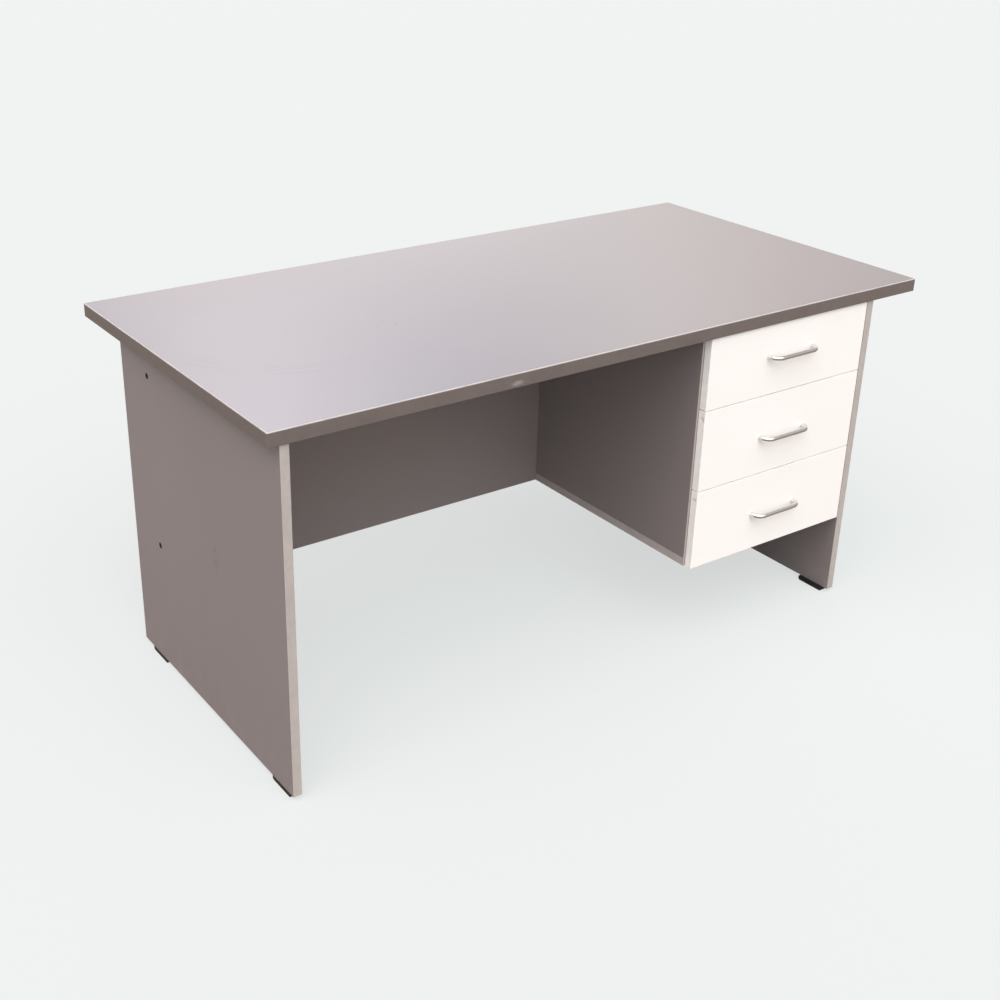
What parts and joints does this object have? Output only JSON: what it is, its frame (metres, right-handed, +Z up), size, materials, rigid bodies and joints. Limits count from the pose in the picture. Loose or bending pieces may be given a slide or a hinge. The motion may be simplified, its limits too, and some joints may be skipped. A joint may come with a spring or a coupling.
{
  "type": "writing desk with drawers",
  "caption": "Grey panel-end writing desk with a wide overhanging top, a modesty panel and a hanging pedestal of white drawers with chrome bow handles.",
  "frame": {"origin": "on the floor, at the middle of the desk's overall width and depth, the handles' reach included", "axes": "+X along the desk towards the pedestal end, +Y from the user towards the back, +Z up"},
  "size_m": [1.6, 0.822, 0.75],
  "materials": {
    "top_laminate": "satin grey melamine face",
    "top_edge": "dark taupe PVC edging",
    "grey_panel": "satin grey melamine face",
    "grey_edge": "light grey PVC edging",
    "white_front": "satin white melamine face",
    "white_edge": "white PVC edging",
    "box_board": "white melamine board with raw chipboard edges",
    "box_hardboard": "white-faced hardboard",
    "handle_chrome": "polished chrome",
    "slide_steel": "zinc-plated steel",
    "black_screw": "black oxide",
    "zinc_screw": "zinc-plated steel",
    "cam_zinc": "die-cast zinc",
    "beech": "plain beech",
    "glide_black": "black moulded plastic"
  },
  "bodies": {
    "carcass": {"desk_top": "top_laminate", "desk_top_edge_band": "top_edge", "left_side_panel": "grey_panel", "left_side_edge_band": "grey_edge", "right_side_panel": "grey_panel", "right_side_edge_band": "grey_edge", "modesty_panel": "grey_panel", "pedestal_side_panel": "grey_panel", "pedestal_bottom_board": "grey_panel", "pedestal_edge_bands": "grey_edge", "glide_front_left": "glide_black", "glide_rear_left": "glide_black", "glide_front_right": "glide_black", "glide_rear_right": "glide_black", "glide_nails": "zinc_screw", "carcass_screws": "black_screw", "cam_housings": "cam_zinc", "cam_bolts": "zinc_screw", "top_dowels": "beech", "cabinet_slide_screws": "zinc_screw", "drawer_1_slide_outers": "slide_steel", "drawer_2_slide_outers": "slide_steel", "drawer_3_slide_outers": "slide_steel"},
    "drawer_1": {"drawer_1_front": "white_front", "drawer_1_front_edge_band": "white_edge", "drawer_1_box_front": "box_board", "drawer_1_box_left": "box_board", "drawer_1_box_right": "box_board", "drawer_1_box_back": "box_board", "drawer_1_box_floor": "box_hardboard", "drawer_1_handle": "handle_chrome", "drawer_1_handle_screws": "zinc_screw", "drawer_1_box_screws": "zinc_screw", "drawer_1_slide_inners": "slide_steel"},
    "slide_middles_1": {"drawer_1_slide_middles": "slide_steel"},
    "drawer_2": {"drawer_2_front": "white_front", "drawer_2_front_edge_band": "white_edge", "drawer_2_box_front": "box_board", "drawer_2_box_left": "box_board", "drawer_2_box_right": "box_board", "drawer_2_box_back": "box_board", "drawer_2_box_floor": "box_hardboard", "drawer_2_handle": "handle_chrome", "drawer_2_handle_screws": "zinc_screw", "drawer_2_box_screws": "zinc_screw", "drawer_2_slide_inners": "slide_steel"},
    "slide_middles_2": {"drawer_2_slide_middles": "slide_steel"},
    "drawer_3": {"drawer_3_front": "white_front", "drawer_3_front_edge_band": "white_edge", "drawer_3_box_front": "box_board", "drawer_3_box_left": "box_board", "drawer_3_box_right": "box_board", "drawer_3_box_back": "box_board", "drawer_3_box_floor": "box_hardboard", "drawer_3_handle": "handle_chrome", "drawer_3_handle_screws": "zinc_screw", "drawer_3_box_screws": "zinc_screw", "drawer_3_slide_inners": "slide_steel"},
    "slide_middles_3": {"drawer_3_slide_middles": "slide_steel"}
  },
  "joints": [
    {"name": "drawer_1_slide", "type": "slide", "parent": "carcass", "child": "drawer_1", "axis": [0, -1, 0], "range_m": [0, 0.45]},
    {"name": "slide_middles_1_slide", "type": "slide", "parent": "carcass", "child": "slide_middles_1", "axis": [0, -1, 0], "range_m": [0, 0.225]},
    {"name": "drawer_2_slide", "type": "slide", "parent": "carcass", "child": "drawer_2", "axis": [0, -1, 0], "range_m": [0, 0.45]},
    {"name": "slide_middles_2_slide", "type": "slide", "parent": "carcass", "child": "slide_middles_2", "axis": [0, -1, 0], "range_m": [0, 0.225]},
    {"name": "drawer_3_slide", "type": "slide", "parent": "carcass", "child": "drawer_3", "axis": [0, -1, 0], "range_m": [0, 0.45]},
    {"name": "slide_middles_3_slide", "type": "slide", "parent": "carcass", "child": "slide_middles_3", "axis": [0, -1, 0], "range_m": [0, 0.225]}
  ],
  "couplings": [
    {"joint": "slide_middles_1_slide", "follows": "drawer_1_slide", "ratio": 0.5},
    {"joint": "slide_middles_2_slide", "follows": "drawer_2_slide", "ratio": 0.5},
    {"joint": "slide_middles_3_slide", "follows": "drawer_3_slide", "ratio": 0.5}
  ]
}
